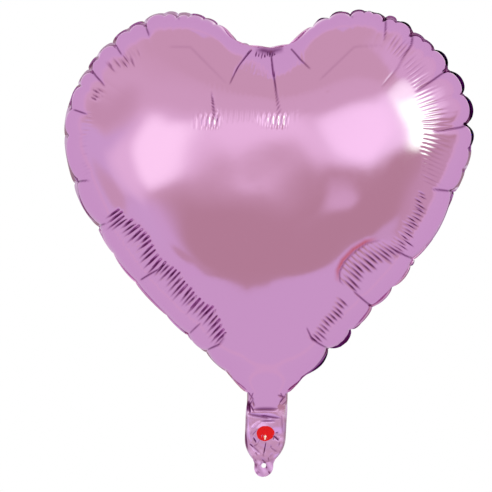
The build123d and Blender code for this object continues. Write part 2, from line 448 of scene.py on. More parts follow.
def film_rise(flat):
    """How far the swollen form stands off the seam plane at each place."""
    offset = flat - np.array([0.0, CREST_Z])
    reach = np.hypot(offset[..., 0], offset[..., 1])
    angle = np.arctan2(offset[..., 1], offset[..., 0])

    def inside(level):
        return level_reach(level, angle) > reach

    rise = HALF_DEPTH * last_inside(np.zeros(reach.shape), np.ones(reach.shape), inside, 40)
    return np.maximum(rise - notch_dent(flat), 0.15 * rise)


def on_film(chain):
    """Places seen in the main view against the seam plane, moved onto the swollen film."""
    seen = np.array(chain, float) - VIEW_AIM
    side, front = math.sin(VIEW_AZIMUTH), math.cos(VIEW_AZIMUTH)
    screen = seen / (1 - seen[:, :1] * side / VIEW_DISTANCE) * (front, 1)
    spot = seen.copy()
    for _ in range(16):
        rise = film_rise(spot + VIEW_AIM)
        near = 1 - (spot[:, 0] * side + rise * front) / VIEW_DISTANCE
        target = np.stack([(screen[:, 0] * near + rise * side) / front, screen[:, 1] * near], 1)
        spot = (spot + target) / 2
    return spot + VIEW_AIM


def seam_coordinates(flat):
    """Nearest place along the seam and distance in from it, for every mesh point."""
    places = np.zeros(flat.shape[:2])
    away = np.zeros(flat.shape[:2])
    window = np.arange(-130, 131)
    base = np.round(np.interp(COLUMN_AT, SEAM_AT, np.arange(SAMPLES))).astype(int)
    index = (base[:, None] + window[None, :]) % SAMPLES
    around = SEAM_LINE[index]
    for row in range(len(flat)):
        gap = np.linalg.norm(around - flat[row][:, None, :], axis=2)
        best = gap.argmin(axis=1)
        chosen = index[np.arange(COLUMNS), best]
        offset = flat[row] - SEAM_LINE[chosen]
        normal = SEAM_NORMAL[chosen]
        tangent = np.stack([normal[:, 1], -normal[:, 0]], 1)
        places[row] = SEAM_AT[chosen] + (offset * tangent).sum(1)
        away[row] = (offset * normal).sum(1)
    return places, away


TAIL_TOP_Z = TIP_Z + SEAM


def valley(across, half):
    """A pillow-sided valley: 1 on its line, 0 at half away, and a sharp bottom."""
    return np.clip(1 - np.abs(across) / half, 0, 1) ** 2


def chain_gap(flat, chain):
    """Distance of each point from a chain of places, and how far along the chain it lies."""
    chain = np.array(chain, float)
    steps = np.linalg.norm(np.diff(chain, axis=0), axis=1)
    best = np.full(flat.shape[:2], 1e9)
    along = np.zeros(flat.shape[:2])
    run = 0.0
    for start, end, step in zip(chain, chain[1:], steps):
        way = (end - start) / step
        offset = flat - start
        travel = np.clip(offset @ way, 0, step)
        gap = np.linalg.norm(offset - travel[..., None] * way, axis=2)
        closer = gap < best
        best = np.where(closer, gap, best)
        along = np.where(closer, run + travel, along)
        run += step
    return best, along / run, run


def tucked_height(flat, seed):
    """How far tucks and pleats sink each point, and how much shade is painted there in their folds."""
    draw = np.random.default_rng(seed)
    sunk = np.zeros(flat.shape[:2])
    tuck = np.zeros(flat.shape[:2])
    for index, (chain, depth, *wide) in enumerate(TUCKS + LONE_TUCKS):
        reach = wide[0] if wide else 1.3
        gap, share, length = chain_gap(flat, on_film(chain))
        wobble = 0.25 * np.sin(share * length / 4.0 + draw.uniform(0, 6))
        fade = np.clip(1 - share, 0, 1) ** 0.45
        fade = fade * np.clip((1 - share) * length / 3, 0, 1)
        if index >= len(TUCKS):
            fade = fade * smoothstep(share * length / min(12, 0.4 * length))
        sunk += fade * depth * (0.62 * valley(gap + wobble, 0.2 + reach) + 0.55 * valley(gap, 8.0))
        shade = np.clip(fade * 1.4, 0, 1) * min(0.60, 0.50 * depth)
        tuck = np.maximum(tuck, shade * valley(gap, reach) ** 0.7)
    for end, way, length, depth, dark, half, inside_out in pleat_list(seed + 1):
        offset = flat - end
        run = offset @ way
        across = offset @ np.array([-way[1], way[0]])
        near = (np.abs(across) < half) & (run > -2) & (run < 2.2 * length)
        rise = smoothstep((run + 1.2) / 2.6)
        strong = rise * (1 - smoothstep((run - 0.45 * length) / (0.75 * length)))
        faint = rise * (1 - smoothstep((run - length) / (1.1 * length)))
        if inside_out:
            strong = smoothstep(run / (0.5 * length))
            strong = strong * (1 - smoothstep((run - 0.75 * length) / (0.35 * length)))
            faint = strong
            dark = dark * smoothstep((run - 0.25 * length) / (0.6 * length))
        shape = np.cos(np.clip(across / half, -1, 1) * math.pi / 2) ** 2
        sunk += near * depth * (0.7 * strong + 0.3 * faint) * shape
        point = 0.2 + 0.8 * smoothstep(run / (0.5 * length))
        line = valley(across, 0.62 * half * point) ** 0.8
        tuck = np.maximum(tuck, near * strong * line * np.clip(1.3 * dark, 0, 1))
    return sunk, tuck


def slow_waves(flat, seed):
    """The gentle unevenness of a film panel, over tens of millimetres."""
    draw = np.random.default_rng(seed)
    total = np.zeros(flat.shape[:2])
    for _ in range(14):
        length = draw.uniform(38, 95)
        angle = draw.uniform(0, math.pi)
        phase = draw.uniform(0, 2 * math.pi)
        run = flat[..., 0] * math.cos(angle) + flat[..., 1] * math.sin(angle)
        total += 0.075 * (length / 60) * np.sin(2 * math.pi * run / length + phase)
    return total


TUCK_PLACES = [SEAM_AT[nearest_seam(chain[0])] for chain, _ in TUCKS]
NOTCH_PLACES = TUCK_PLACES + [SEAM_AT[nearest_seam(spot)] for spot in NOTCHES]


def smooth_corner(value, soft):
    """0 for values well below 0 and the value itself well above, with a round corner."""
    return (value + np.hypot(value, soft)) / 2 - soft / 2 * np.exp(-((value / soft) ** 2) / 2)


TAIL_HALF = 18.7            # half the tail's width
NARROWING = 9.4             # how much closer each edge is at the waist
NARROW_Z = 27.0             # the tail gets narrower below this
FLARE_Z = 66.0              # the edges spread above this, where the tail becomes the panel


def tail_half(z):
    """Half the width of the tail, and above it of the panel's narrow foot, at a height."""
    share = np.clip((NARROW_Z - z) / (NARROW_Z - WAIST_Z), 0, 1)
    flare = np.clip(smooth_corner(z - FLARE_Z, 6.0), 0, None) * 0.98
    return TAIL_HALF - NARROWING * share**2.4 + flare


def tail_shift(z):
    """Sideways place of the tail's centre line: it leans away from the heart's axis."""
    return AXIS_X * np.clip(z / FOLD_Z, -0.2, 1)


# Folds of the limp tail: two ends (x, z), depth, half width, painted shade in the fold
TAIL_FOLDS = [
    ((-12, 52), (10, 52.5), 2.0, 4.0, 0.50), ((-17, 47.5), (4, 43.5), 1.5, 3.6, 0.45),
    ((-6, 46), (13, 44), 1.4, 3.0, 0.52), ((-5, 41), (9, 41.5), 0.8, 1.8, 0.5),
    ((-17, 60), (-15, 48), 1.4, 2.2, 1.0), ((-18, 59), (-17.4, 50), 1.2, 2.0, 1.0),
    ((-16, 57), (-11, 49), 0.9, 1.4, 0.8), ((-14, 60), (-17, 53), 0.8, 1.3, 0.8),
    ((-18, 68), (-12, 61), 0.9, 1.3, 0.55), ((-12, 69), (-16, 60), 0.8, 1.2, 0.5),
    ((10, 66), (17, 63), 0.9, 1.4, 0.55), ((12, 70), (15, 61), 0.8, 1.2, 0.5),
    ((17, 66), (11, 56), 0.8, 1.3, 0.4),
    ((-14, 62), (-11, 55), 1.0, 1.6, 0.4), ((15, 63), (12, 58), 1.2, 2.2, 0.5),
    ((18, 60), (14, 56), 0.8, 1.4, 0.3), ((-19, 32), (-16, 15), 1.2, 1.8, 0.6),
    ((-11, 26), (-8, 21), 1.0, 1.3, 1.0), ((-14, 20), (-11, 17), 0.9, 1.2, 0.9),
    ((7, 28), (13, 23), 1.1, 1.3, 1.0), ((9, 30), (12, 31), 0.7, 1.0, 0.7),
    ((0.9, 22), (-0.9, 8.5), 0.9, 1.1, 0.9), ((-14, 20), (-4, 11), 0.9, 2.2, 0.3),
    ((-13, 35), (-5, 41), -1.1, 1.8, 0.0), ((-16, 40), (-13, 22), -0.8, 2.4, 0.0),
    ((5, 17), (12, 12), 0.6, 1.6, 0.3), ((-12.8, 4.6), (-6, 0), 0.9, 1.5, 0.6),
    ((-1.4, 5.6), (3.6, -3.4), 1.0, 1.3, 0.9), ((-3, -5), (-7, -8), 0.8, 1.4, 0.5),
    ((4, -5), (7, -8), 0.7, 1.3, 0.6), ((-6.5, 2), (-8, -4), 0.7, 1.3, 0.6),
    ((14, 46), (16, 30), 0.8, 2.2, 0.2), ((-8, 33), (-12, 28), 0.6, 1.2, 0.4),
]


def small_folds(seed):
    """Short random crumples of the limp film."""
    draw = np.random.default_rng(seed)
    folds = []
    for _ in range(34):
        x, z = draw.uniform(-16, 16), draw.uniform(-8, 38)
        angle, long = draw.uniform(0, math.pi), draw.uniform(2, 7)
        step = (long * math.cos(angle), long * math.sin(angle))
        folds.append(((x, z), (x + step[0], z + step[1]), draw.uniform(-0.45, 0.6),
                      draw.uniform(0.7, 1.5), draw.uniform(0, 0.55)))
    return folds


def tail_thickness(z):
    """How far each film of the tail, and of the panel's foot above it, bulges at its middle."""
    return np.interp(z, [-12, 4, 9, 20, 38, 47, 53, 58, 78, 104],
                     [0.25, 0.3, 0.9, 1.7, 2.2, 2.6, 4.2, 6.2, 19.5, 41])


def tail_sheet(x, z, side, seed):
    """y of one film of the tail and the shade painted in its folds, at x from the tail's centre line.
    """
    draw = np.random.default_rng(seed)
    half = tail_half(z)
    spread = 9 * smoothstep((z - 50) / 25)
    thick = np.zeros(np.shape(z))
    for shift in np.linspace(-1, 1, 9):
        thick = thick + tail_thickness(z + shift * spread) / 9
    thick = thick * (1.0 if side < 0 else 0.96)
    crown = np.clip(1 - (np.abs(x) / (half - 1.5)) ** 2.2, 0, 1) ** 0.75
    body = FILM_GAP + thick * crown
    wander = 0.0
    for _ in range(6):
        length, angle, phase = draw.uniform(9, 26), draw.uniform(0, math.pi), draw.uniform(0, 6)
        run = x * math.cos(angle) + z * math.sin(angle)
        wander = wander + 0.11 * np.sin(2 * math.pi * run / length + phase)
    folds, dark = 0.0, 0.0
    for (x0, z0), (x1, z1), depth, wide, dim in TAIL_FOLDS + small_folds(seed):
        if side > 0:
            x0, x1 = -x0 + 2, -x1 - 1
        dx, dz = x1 - x0, z1 - z0
        share = np.clip(((x - x0) * dx + (z - z0) * dz) / (dx * dx + dz * dz), 0, 1)
        gap = np.hypot(x - x0 - share * dx, z - z0 - share * dz)
        ends = 1 - (2 * share - 1) ** 4 * 0.7
        lens = wide * (0.25 + 0.75 * np.sqrt(1 - (2 * share - 1) ** 2))
        folds = folds - depth * ends * valley(gap, lens)
        dark = np.maximum(dark, dim * ends * valley(gap, 0.8 * lens) ** 0.7)
    loose = smoothstep((73 - z) / 8)
    swell = body + (wander + folds * 0.85) * loose * (0.35 + 0.65 * np.clip(crown * 2, 0, 1))
    least = FILM_GAP + 0.55 * smoothstep((crown - 0.15) / 0.3) * smoothstep((z - 9) / 5)
    mouth = 0.5 * np.exp(-((z - 12) / 3.2) ** 2) * smoothstep((x / half - 0.6) / 0.3)
    return side * (np.maximum(swell, least) + mouth), dark * loose


def tail_middle(x, z):
    """How the two films of the limp tail wave together."""
    wave = 1.2 * np.sin(z / 13.0 + 0.5) + 0.8 * np.sin(x / 7.0 + z / 19.0)
    fine = 0.25 * np.sin(z / 5.1 + x / 5.5) + 0.32 * np.sin(z / 3.4 - x / 8.0 + 1.0)
    finer = 0.22 * np.sin(x / 3.2 + z / 6.0 + 2.0) + 0.10 * np.sin(z / 1.8 + x / 2.7)
    return (wave + fine + finer) * smoothstep((60 - z) / 16)


def foot_blend(flat):
    """1 over the panel, falling to 0 at the foot, where the panel runs into the tail."""
    x = smooth_corner(np.abs(flat[..., 0]) - 18.0, 5.0)
    away = np.hypot(1.3 * x, np.clip(flat[..., 1] - TAIL_TOP_Z, 0, None))
    away = np.where(flat[..., 1] > TAIL_TOP_Z + 60, 99.0, away)
    return smoothest(away / 56.0)


class Sheet:
    """Vertices and faces of one foil sheet, gathered row by row."""

    def __init__(self):
        self.points = []
        self.marks = {name: [] for name in ("tuck", "groove", "edge", "limp", "warm_reflection")}
        self.faces = []

    def add_row(self, points, **marks):
        """Adds points with the marks that aren't 0 there, and gives back their indices."""
        first = len(self.points)
        self.points.extend(points.tolist())
        for name, kept in self.marks.items():
            kept.extend(np.broadcast_to(marks.get(name, 0.0), len(points)).tolist())
        return list(range(first, first + len(points)))

    def join(self, outer, inner, closed=True, skip=()):
        """Faces between two rows; the inner one may have half as many points."""
        count = len(outer)
        last = count if closed else count - 1
        if len(inner) == count:
            for i in range(last):
                j = (i + 1) % count
                if i not in skip or j not in skip:
                    self.faces.append((outer[i], outer[j], inner[j], inner[i]))
            return
        for i in range(0, last, 2):
            a, b, c = outer[i], outer[(i + 1) % count], outer[(i + 2) % count]
            d, e = inner[i // 2], inner[(i // 2 + 1) % len(inner)]
            self.faces.append((a, b, d))
            self.faces.append((b, e, d))
            self.faces.append((b, c, e))


def link_object(name, data):
    made = bpy.data.objects.new(name, data)
    bpy.context.scene.collection.objects.link(made)
    return made


def object_from(name, points, faces, attributes, flip):
    """A smooth-shaded mesh object; points are in millimetres. Unused points are left out."""
    if flip:
        faces = [tuple(reversed(face)) for face in faces]
    used = sorted({corner for face in faces for corner in face})
    renumbered = {old: new for new, old in enumerate(used)}
    faces = [tuple(renumbered[corner] for corner in face) for face in faces]
    mesh = bpy.data.meshes.new(name)
    mesh.from_pydata((np.array(points)[used] * MM).tolist(), [], faces)
    for key, values in attributes.items():
        layer = mesh.attributes.new(key, "FLOAT", "POINT")
        layer.data.foreach_set("value", np.array(values, np.float32)[used])
    mesh.polygons.foreach_set("use_smooth", [True] * len(mesh.polygons))
    mesh.update()
    return link_object(name, mesh)


FLAT = base_grid()
RISE = film_rise(FLAT)
RISE[0] = 0.0
PLACES, AWAY = seam_coordinates(FLAT)
FILM = np.broadcast_to(ROW_FILM[:, None], PLACES.shape)
TAIL_CUT_Z = 12.0           # below this the sheet goes on as the tab piece
FLANGE_ROWS = 3
FLANGE = 3.0                # how far the flat sealed border shows
WANDER_FADE = 11.0          # the seam's wander fades out over this film length
PUFF = 2.4                  # how far the film bulges beyond the seam, on both sheets
BACK_PUFF = 3.7             # further bulge of the back one where the border leans forwards
PUFF_AT = 9.0               # film length at which it bulges most


def pillows(at, notches, seed, low, high):
    """Pillow share, its length, and a random number between low and high for each pillow."""
    share, length, index = scallop(at, notches)
    drawn = np.random.default_rng(seed).uniform(low, high, len(notches) + 2)
    return share, length, drawn[index]


def outline_calm(x, z):
    """Less than 1 where the outline is smoother: low on both sides and along the left."""
    low_left = smoothstep((-30 - x) / 30) * smoothstep((255 - z) / 30)
    far_left = smoothstep((-145 - x) / 25) * smoothstep((345 - z) / 15)
    right = smoothstep((x - 140) / 25) * smoothstep((302 - z) / 10)
    return 1 - np.maximum(np.maximum(0.55 * low_left, 0.9 * far_left), 0.55 * right)


def seam_shift(at):
    """How the seam line itself moves: inwards at the notches, and in and out of the seam plane."""
    share, length, throw = pillows(at, NOTCH_PLACES, 11, -1.4, 1.4)
    spot_x, spot_z = along_seam(SEAM_LINE, at)
    calm = outline_calm(spot_x, spot_z)
    inwards = np.clip(0.11 * length, 0.8, 2.6) * (1 - share) * calm
    wide, wide_length, _ = scallop(at, TUCK_PLACES)
    inwards = inwards + np.clip(0.035 * wide_length, 0.3, 1.3) * (1 - wide) * calm
    inwards = inwards - 4.2 * (spot_x < -100) * np.exp(-(((spot_z - 248) / 28) ** 2))
    high = smoothstep((spot_x - 28) / 25) * smoothstep((spot_z - 275) / 40)
    low = smoothstep((spot_x - 14) / 12) * smoothstep((140 - spot_z) / 18)
    right = np.maximum(np.maximum(high, 0.85 * low), 0.25 * smoothstep((spot_x - 25) / 40))
    at_notch = np.exp(-((spot_x / 22) ** 2)) * (spot_z > 300)
    forwards = throw * share * (1 - 0.6 * right) - 2.2 * right
    return inwards + 3.2 * at_notch, forwards, right, calm


def front_normals():
    """Outward unit normals of the swollen form's front."""
    points = np.stack([FLAT[..., 0], -RISE, FLAT[..., 1]], 2)
    along = np.roll(points, -1, 1) - np.roll(points, 1, 1)
    normal = np.cross(np.gradient(points, axis=0), along)
    normal /= np.linalg.norm(normal, axis=2)[..., None] + 1e-12
    return normal if normal[30, :, 1].mean() < 0 else -normal


def panel_points(side, seed):
    """The swollen panel with its tucks, as rows of x, y, z, plus the shares of painted shade in the
    tucks and near the seam.
    """
    normal = front_normals()
    normal[..., 1] *= -side
    points = np.stack([FLAT[..., 0], side * RISE, FLAT[..., 1]], 2)
    share, length, _ = scallop(PLACES, NOTCH_PLACES)
    wide, wide_length, _ = scallop(PLACES, TUCK_PLACES)
    sunk, tuck = tucked_height(FLAT, seed)
    keep = foot_blend(FLAT)
    hollow = np.clip(0.075 * wide_length, 0.6, 2.2) * (1 - wide) * np.exp(-((FILM - 6) / 20) ** 2)
    hollow += np.clip(0.05 * length, 0.4, 1.2) * (1 - share) * np.exp(-((FILM - 3) / 9) ** 2)
    hollow *= np.clip(FILM / 5, 0, 1)
    lift = (-hollow - sunk) * keep
    lift += slow_waves(FLAT, seed) * smoothstep(AWAY / 30) * keep
    points += normal * lift[..., None]
    # The seam's own wander fades out up the film; the film puffs a little beyond the seam.
    inwards, forwards, right, calm = seam_shift(PLACES)
    fade = np.exp(-FILM / WANDER_FADE) * keep
    pillow = 1 - (1 - share**0.6) * calm
    puff = PUFF + (BACK_PUFF * right if side > 0 else 0)
    puff = puff * pillow * np.clip(length / 22, 0.5, 1.15)
    puff = puff * (FILM / PUFF_AT) * np.exp(1 - FILM / PUFF_AT) * keep
    push = inward_at(PLACES) * (inwards * fade - puff)[..., None]
    points[..., 0] += push[..., 0]
    points[..., 2] += push[..., 1]
    points[..., 1] += forwards * fade
    # The foot runs into the tail.
    x, z = points[..., 0], points[..., 2]
    tail_y, _ = tail_sheet(x, z, side, seed + 5)
    points[..., 1] = np.where(keep < 1, points[..., 1] * keep + tail_y * (1 - keep), points[..., 1])
    points[..., 0] += AXIS_X
    # Painted shade near the seam, strongest on the right where the border leans forwards; only the
    # back foil's material shows it.
    groove = np.exp(-FILM / 16.0) * keep * (0.1 + 0.9 * right)
    return points, tuck, groove


def flange_rows(sheet, seam, side):
    """The flat sealed border, leaning a little this way and that."""
    share, _, lean = pillows(COLUMN_AT, NOTCH_PLACES, 12, -0.7, 0.7)
    _, _, right, _ = seam_shift(COLUMN_AT)
    lean = lean * share - 1.05 * right
    keep = foot_blend(FLAT[0][None])[0]
    outward = -inward_at(COLUMN_AT)
    spot_x, spot_z = along_seam(SEAM_LINE, COLUMN_AT)
    bumps = 1.1 * np.exp(-((spot_x + 19) / 6) ** 2) + 1.0 * np.exp(-((spot_x - 13) / 6) ** 2)
    flap = 1 + bumps * (spot_z > 300) - 0.6 * smoothstep((100 - spot_z) / 20)
    rows = []
    for step in range(FLANGE_ROWS, 0, -1):
        reach = FLANGE * step / FLANGE_ROWS * flap
        line = seam.copy()
        line[:, 0] += outward[:, 0] * reach * np.cos(lean)
        line[:, 2] += outward[:, 1] * reach * np.cos(lean)
        line[:, 1] += reach * np.sin(lean) + side * FILM_GAP
        # The sealed border gets some of the painted seam shade too.
        rows.append(sheet.add_row(line, groove=0.4 * keep, edge=keep))
    return rows


def tail_rows(sheet, side, seed, upper, top_x):
    """The tail's film, row by row, from the panel's foot down to the waist piece.

    Gives back each column's share of half the width, from -1 to 1.
    """
    share = top_x / np.abs(top_x).max()
    for z in np.linspace(TAIL_TOP_Z, TAIL_CUT_Z, 74)[1:]:
        settle = np.interp(z, [58, TAIL_TOP_Z], [1, 0])
        x = share * settle * tail_half(z) + top_x * (1 - settle)
        y, dark = tail_sheet(x, z, side, seed + 5)
        line = np.stack([x + tail_shift(z), y + tail_middle(x, z), np.full(len(x), z)], 1)
        rim = smoothstep((np.abs(x) / tail_half(z) - 0.86) / 0.06)
        # Painted shade in the tail's folds goes into the same mark as the tucks' painted shade.
        lower = sheet.add_row(line, tuck=dark, edge=rim * 0.8, limp=smoothstep((54 - z) / 8))
        sheet.join(lower, upper, closed=False)
        upper = lower
    return share


def foil_sheet(side, seed, name):
    """One foil sheet from its sealed border over the swollen panel and down the tail."""
    points, tuck, groove = panel_points(side, seed)
    # A warm reflection painted into the front sheet's colour along one crease.
    gap, along, _ = chain_gap(FLAT, on_film(WARM_REFLECTION_ARC))
    warm_reflection = valley(gap, 3.4) ** 0.6 * smoothstep(along / 0.35) * smoothstep((1 - along) / 0.25)
    warm_reflection = warm_reflection * (side < 0)
    sheet = Sheet()
    keep = foot_blend(FLAT)
    on_foot = (np.abs(FLAT[0, :, 1] - TAIL_TOP_Z) < 1.2) & (np.abs(FLAT[0, :, 0]) < 19.2)
    seam = points[0].copy()
    rows = flange_rows(sheet, seam, side)
    seam[:, 1] += side * FILM_GAP * keep[0]
    # The seam row carries the painted shade of the tucks and of the seam.
    rows.append(sheet.add_row(seam, tuck=tuck[0], groove=groove[0], edge=0.6 * keep[0]))
    marks = {"tuck": tuck, "groove": groove, "warm_reflection": warm_reflection}
    for row, (_, share) in enumerate(ROWS[1:], 1):
        here = {name: values[row, ::share] for name, values in marks.items()}
        rows.append(sheet.add_row(points[row, ::share], **here))
    foot = set(np.flatnonzero(on_foot).tolist())
    for index, (outer, inner) in enumerate(zip(rows, rows[1:])):
        sheet.join(outer, inner, skip=foot if index < FLANGE_ROWS else ())
    crest = sheet.add_row(np.array([[AXIS_X, side * HALF_DEPTH, CREST_Z]]))[0]
    ring = rows[-1]
    for i in range(len(ring)):
        sheet.faces.append((ring[i], ring[(i + 1) % len(ring)], crest))
    order = np.flatnonzero(on_foot)
    order = order[np.argsort(FLAT[0, order, 0])]
    top = [rows[FLANGE_ROWS][i] for i in order]
    share = tail_rows(sheet, side, seed, top, FLAT[0, order, 0])
    return object_from(name, sheet.points, sheet.faces, sheet.marks, side > 0), share


# ---------------------------------------------------------------- materials

class Tree:
    """Short ways to add nodes to a node tree. Values are numbers, colours or sockets."""

    def __init__(self, tree):
        self.nodes = tree.nodes
        self.links = tree.links

    def feed(self, value, socket):
        if isinstance(value, bpy.types.NodeSocket):
            self.links.new(value, socket)
        else:
            socket.default_value = (*value, 1) if isinstance(value, tuple) else value

    def math(self, operation, *values):
        node = self.nodes.new("ShaderNodeMath")
        node.operation = operation
        for socket, value in zip(node.inputs, values):
            self.feed(value, socket)
        return node.outputs[0]

    def times(self, a, b):
        return self.math("MULTIPLY", a, b)

    def plus(self, a, b):
        return self.math("ADD", a, b)

    def ramp(self, value, low, high):
        """0 below low, 1 above high, and a soft step between; low may be the greater."""
        node = self.nodes.new("ShaderNodeMapRange")
        node.interpolation_type = "SMOOTHSTEP"
        node.inputs["From Min"].default_value = low
        node.inputs["From Max"].default_value = high
        self.feed(value, node.inputs["Value"])
        return node.outputs["Result"]

    def mix(self, factor, first, second):
        """Colour that goes from first to second as factor goes from 0 to 1."""
        node = self.nodes.new("ShaderNodeMix")
        node.data_type = "RGBA"
        self.feed(factor, node.inputs["Factor"])
        self.feed(first, node.inputs["A"])
        self.feed(second, node.inputs["B"])
        return node.outputs["Result"]

    def mark(self, name):
        """A mesh attribute's value."""
        node = self.nodes.new("ShaderNodeAttribute")
        node.attribute_name = name
        return node.outputs["Fac"]

    def noise(self, scale, detail, place, output):
        node = self.nodes.new("ShaderNodeTexNoise")
        node.inputs["Scale"].default_value = scale
        node.inputs["Detail"].default_value = detail
        self.feed(place, node.inputs["Vector"])
        return node.outputs[output]


class Material(Tree):
    """A material with the parts of its shader at hand."""

    def __init__(self, name):
        self.material = bpy.data.materials.new(name)
        self.material.use_nodes = True
        super().__init__(self.material.node_tree)
        self.shader = self.nodes["Principled BSDF"].inputs

    def set(self, name, value):
        self.feed(value, self.shader[name])

    def place(self):
        return self.nodes.new("ShaderNodeTexCoord").outputs["Object"]

    def grain(self, scale, detail=2.0):
        return self.noise(scale, detail, self.place(), "Fac")

    def bump(self, height, strength, distance):
        node = self.nodes.new("ShaderNodeBump")
        node.inputs["Strength"].default_value = strength
        node.inputs["Distance"].default_value = distance
        self.feed(height, node.inputs["Height"])
        self.set("Normal", node.outputs["Normal"])

    def marked(self, name, share, first, second):
        """Colour that goes from first to second with a mesh attribute times a share."""
        scaled = self.times(self.mark(name), share)
        scaled.node.use_clamp = True
        return self.mix(scaled, first, second)


FOIL = (0.62, 0.315, 0.60)
SEALED = (0.44, 0.28, 0.47)
# Colour of the painted shade in creases
CREASE_SHADE_COLOUR = (0.34, 0.07, 0.33)
# Colour of the painted shade near the back sheet's seam
SHADED = (0.085, 0.007, 0.095)
# Colour of the deepest painted shade, at the creases' cores
DEEP_CREASE_SHADE_COLOUR = (0.045, 0.003, 0.030)
LIMP = (0.72, 0.40, 0.80)
# Colour of the painted warm reflection.
WARM_REFLECTION_COLOUR = (0.52, 0.08, 0.11)
GRAZING = (0.86, 0.70, 0.86)
GRAIN_HEIGHT = 0.00001      # metres, as are the other sizes in a material
CURTAIN_HEIGHT = 0.00011
FEET_HEIGHT = 0.00055
HANGING_PITCH = 0.0047
HANGING_LEAN = -55.0        # radians of the pleats' wave per metre of height


def hanging_pleats(foil):
    """Relief in metres of the fine upright pleats below the notch, crisp at their feet."""
    split = foil.nodes.new("ShaderNodeSeparateXYZ")
    foil.feed(foil.place(), split.inputs[0])
    x, z = split.outputs["X"], split.outputs["Z"]
    times, plus = foil.times, foil.plus

    def window(value, start, full, still, end):
        return times(foil.ramp(value, start, full), foil.ramp(value, end, still))

    curtain = times(window(z, 0.308, 0.314, 0.348, 0.370), window(x, -0.054, -0.038, 0.026, 0.042))
    by_lone_tuck = window(x, -0.060, -0.038, -0.035, -0.029)
    by_middle_tuck = window(x, -0.007, 0.0225, 0.0250, 0.0300)
    feet = times(window(z, 0.3035, 0.3105, 0.3135, 0.3205), plus(by_lone_tuck, by_middle_tuck))
    height = plus(times(curtain, CURTAIN_HEIGHT), times(feet, FEET_HEIGHT))
    turns = plus(times(x, 2 * math.pi / HANGING_PITCH), times(z, HANGING_LEAN))
    return times(foil.math("SINE", turns), height)


def foil_material(name, is_front):
    """Bright metallised film: a tinted mirror, faintly uneven, with painted shade in its tucks and
    near the back's seam, and a painted warm reflection.
    """
    foil = Material(name)
    # How strongly shade is painted near the seam: only on the back foil.
    groove = 0.0 if is_front else 1.7
    colour = foil.marked("limp", 1.0, FOIL, LIMP)
    # The painted warm reflection along one crease.
    colour = foil.marked("warm_reflection", 0.9, colour, WARM_REFLECTION_COLOUR)
    colour = foil.marked("edge", 1.0, colour, SEALED)
    # Painted shade near the back sheet's seam.
    colour = foil.marked("groove", groove, colour, SHADED)
    # Painted shade in the creases, deepest at their cores.
    colour = foil.marked("tuck", 1.7, colour, CREASE_SHADE_COLOUR)
    foil.set("Base Color", foil.marked("tuck", 1.3, colour, DEEP_CREASE_SHADE_COLOUR))
    # The painted seam shade darkens the metal's grazing tint as well.
    foil.set("Specular Tint", foil.marked("groove", groove, GRAZING, SHADED))
    foil.set("Metallic", 1.0)
    grain = foil.grain(240.0, 3.0)
    uneven = foil.plus(foil.times(grain, 0.05), 0.08)
    foil.set("Roughness", foil.plus(uneven, foil.times(foil.mark("limp"), 0.20)))
    relief = foil.times(grain, GRAIN_HEIGHT)
    if is_front:
        relief = foil.plus(relief, hanging_pleats(foil))
    foil.bump(relief, 1.0, 1.0)
    return foil.material


def clear_material():
    """Clear film, slightly hazy and uneven."""
    film = Material("clear film")
    film.set("Base Color", (0.93, 0.95, 0.97))
    film.set("Roughness", 0.2)
    film.set("Alpha", 0.35)
    film.bump(film.grain(180.0), 0.3, 0.0002)
    return film.material


def print_material(name, colour):
    """Matt ink, slightly blotchy."""
    ink = Material(name)
    thin = tuple(part * 0.86 for part in colour)
    thick = tuple(min(1, part * 1.1) for part in colour)
    ink.set("Base Color", ink.mix(ink.grain(700.0), thin, thick))
    ink.set("Roughness", 0.45)
    ink.set("Specular IOR Level", 0.15)
    return ink.material


front_foil_material = foil_material("front foil", True)
back_foil_material = foil_material("back foil", False)
clear = clear_material()
marker_red = print_material("marker red", (0.70, 0.003, 0.007))
marker_white = print_material("marker white", (0.95, 0.72, 0.66))
ink_grey = print_material("release ink", (0.80, 0.80, 0.75))


# ---------------------------------------------------------------- build the pieces

HOLE = 2.2                  # radius of the ribbon hole
TAB_NECK = (2.0, 6.0)       # between these heights the tail's foot narrows to the tab
DOT_PROUD = 0.10            # how far the print stands off the film
ARROW_PROUD = 0.22
VALVE_OFF = 0.22            # how far each valve film stands off the tail's middle
VALVE_HALF = 12.5
INK_OFF = 0.12


def finish_piece(piece, material, slot, *stands_for):
    piece.data.materials.append(material)
    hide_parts(*stands_for)


def blend_across(piece):
    """Writes the piece's placement into its mesh."""
    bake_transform(piece)


def lower_half(z):
    """Half the width of the tail's foot and of the tab, which is a strip with a round foot."""
    if z > TAB_NECK[1]:
        return tail_half(z)
    if z > TAB_NECK[0]:
        return np.interp(z, TAB_NECK, [lower_half(TAB_NECK[0]), tail_half(TAB_NECK[1])])
    half = (tab_hi[0] - tab_lo[0]) / 2
    down = np.clip((tab_lo[2] + half - z) / half, 0, 1)
    return half * math.sqrt(1 - down**2)


def circle(radius, count):
    turns = np.linspace(0, 2 * math.pi, count, endpoint=False)
    return [(radius * math.cos(turn), radius * math.sin(turn)) for turn in turns]


def loop_edges(first, count):
    return [(first + i, first + (i + 1) % count) for i in range(count)]


def triangulate(points, edges):
    """Triangles over flat points that keep to the given edges: x, z and corner indices."""
    corners = [Vector(point) for point in points]
    flat, _, faces, _, _, _ = delaunay_2d_cdt(corners, edges, [], 1, 1e-5)
    x, z = np.array([tuple(point) for point in flat]).T
    return x, z, [tuple(face) for face in faces]


